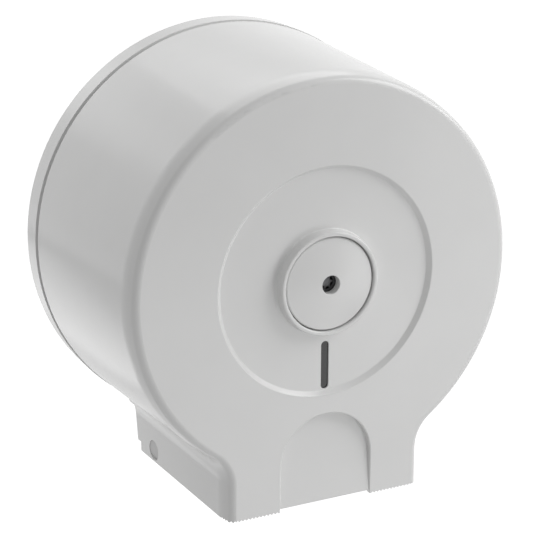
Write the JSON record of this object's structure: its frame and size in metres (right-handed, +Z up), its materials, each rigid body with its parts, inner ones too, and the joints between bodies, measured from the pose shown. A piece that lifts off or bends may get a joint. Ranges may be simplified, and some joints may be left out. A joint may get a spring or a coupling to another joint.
{
  "type": "jumbo toilet roll dispenser",
  "caption": "Wall-held round dispenser for a large toilet roll: dish with spindle and turning hub, drum-shaped hinged cover with paper outlet neck, tear teeth, level window and key lock.",
  "frame": {"origin": "on the wall plane, at the axis of the drum, the spindle and the lock", "axes": "+Z up, front faces -Y, +Y goes into the wall, +X to the right seen from the front"},
  "size_m": [0.231, 0.1397, 0.2409],
  "materials": {
    "white_abs": "smooth moulded, satin gloss",
    "grey_abs": "fine matt moulded",
    "nylon": "natural, matt",
    "felt": "pressed felt",
    "smoked_window": "smoked clear, polished",
    "steel_strip": "zinc plated strip",
    "zinc_screw": "bright zinc plate",
    "cast_zinc": "die-cast, satin",
    "dark_zinc": "die-cast, dark"
  },
  "bodies": {
    "base": {"back_plate": "white_abs", "spindle": "grey_abs", "spindle_screws": "zinc_screw", "keeper_plate": "steel_strip", "keeper_screws": "zinc_screw", "wave_spring": "steel_strip", "friction_ring": "felt", "hub_washer": "nylon", "hub_retainer": "steel_strip"},
    "hub": {"roll_hub": "grey_abs"},
    "cover_shell": {"cover": "white_abs", "level_window": "smoked_window", "window_clips": "steel_strip", "lock_cap": "white_abs", "lock_body": "cast_zinc", "lock_nut": "zinc_screw"},
    "lock": {"lock_rotor": "dark_zinc", "lock_stop_washer": "steel_strip", "latch_bar": "steel_strip", "latch_screw": "zinc_screw"}
  },
  "joints": [
    {"name": "cover_hinge", "type": "hinge", "parent": "base", "child": "cover_shell", "pos_m": [0, -0.0454, -0.1186], "axis": [1, 0, 0], "range_deg": [0, 115]},
    {"name": "hub_spin", "type": "hinge", "parent": "base", "child": "hub", "pos_m": [0, -0.06, 0], "axis": [0, -1, 0], "continuous": true},
    {"name": "lock_turn", "type": "hinge", "parent": "cover_shell", "child": "lock", "pos_m": [0, -0.12, 0], "axis": [0, -1, 0], "range_deg": [0, 90]}
  ]
}
